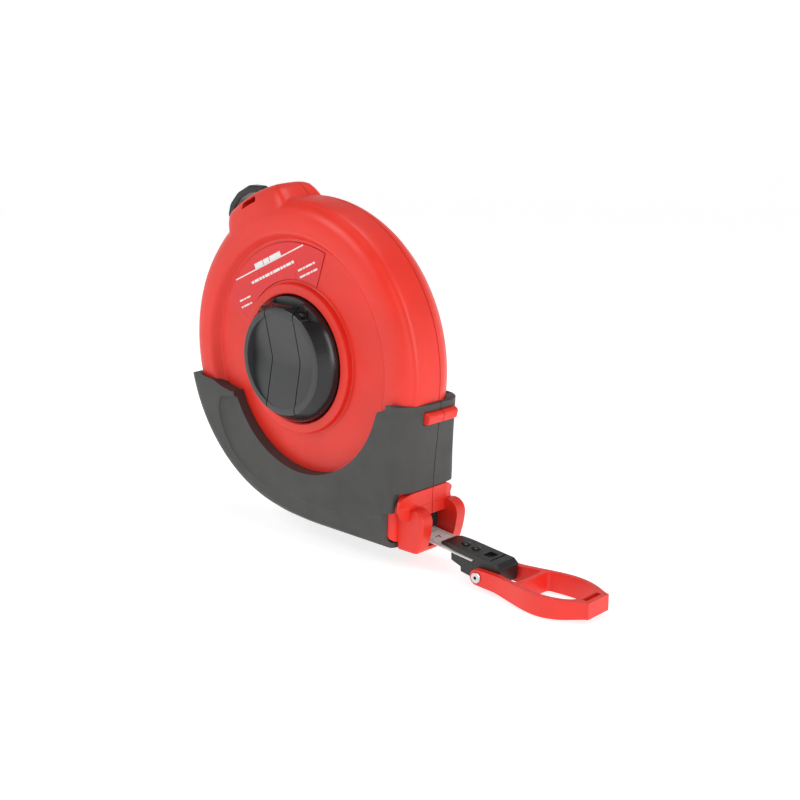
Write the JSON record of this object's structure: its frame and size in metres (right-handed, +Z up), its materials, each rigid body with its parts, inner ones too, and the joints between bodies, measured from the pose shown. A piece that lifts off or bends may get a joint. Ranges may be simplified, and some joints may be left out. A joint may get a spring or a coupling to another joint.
{
  "type": "surveyor tape reel",
  "caption": "Closed-case long measuring tape reel with fold-out winding crank, rubber overmould, steel tape leaving a nose mouth, and a hinged finger ring on the tape's end.",
  "frame": {"origin": "middle of the reel's bounding box at its lowest level, which is the underside of the finger ring", "axes": "+X the way the tape leaves the mouth, +Y away from the crank side along the spool axis, +Z up"},
  "size_m": [0.2068, 0.038, 0.1468],
  "materials": {
    "case_red": "fine moulded texture",
    "guard_grey": "matt",
    "label_red": "printed film",
    "knob_black": "satin",
    "fitting_black": "satin",
    "core_grey": "plain",
    "steel": "bright",
    "tape_white": "enamelled",
    "wiper_felt": "felt",
    "ring_red": "satin"
  },
  "bodies": {
    "case": {"case_near": "case_red", "case_far": "case_red", "overmould_near": "guard_grey", "overmould_far": "guard_grey", "label": "label_red", "hang_loop": "fitting_black", "wiper_upper": "wiper_felt", "wiper_lower": "wiper_felt", "case_screw_1": "steel", "case_screw_2": "steel", "case_screw_3": "steel", "case_screw_4": "steel", "case_screw_5": "steel"},
    "spool": {"winding_drum": "knob_black", "crank_pin": "steel", "hub_screw": "steel", "spool_core": "core_grey", "tape_coil": "tape_white"},
    "crank": {"crank_arm": "knob_black", "grip_stud": "steel"},
    "grip": {"finger_grip": "fitting_black"},
    "tape": {"tape_blade": "tape_white", "end_block": "fitting_black", "end_claw": "fitting_black", "end_rivet_1": "steel", "end_rivet_2": "steel", "ring_pin": "steel"},
    "ring": {"end_ring": "ring_red"}
  },
  "joints": [
    {"name": "spool_spin", "type": "hinge", "parent": "case", "child": "spool", "pos_m": [-0.03809, 0.005, 0.07721], "axis": [0, -1, 0], "range_deg": [-11, 69]},
    {"name": "tape_slide", "type": "slide", "parent": "case", "child": "tape", "axis": [0.9945, 0, -0.1045], "range_m": [-0.0105, 0.061]},
    {"name": "crank_fold", "type": "hinge", "parent": "spool", "child": "crank", "pos_m": [-0.03809, -0.0161, 0.09741], "axis": [-1, 0, 0], "range_deg": [0, 180]},
    {"name": "grip_spin", "type": "hinge", "parent": "crank", "child": "grip", "pos_m": [-0.03809, -0.0097, 0.06471], "axis": [0, 1, 0], "continuous": true},
    {"name": "ring_fold", "type": "hinge", "parent": "tape", "child": "ring", "pos_m": [0.0532, 0.005, 0.005], "axis": [0, -1, 0], "range_deg": [-70, 95]}
  ],
  "couplings": [
    {"joint": "tape_slide", "follows": "spool_spin", "m_per_rad": 0.0495}
  ]
}
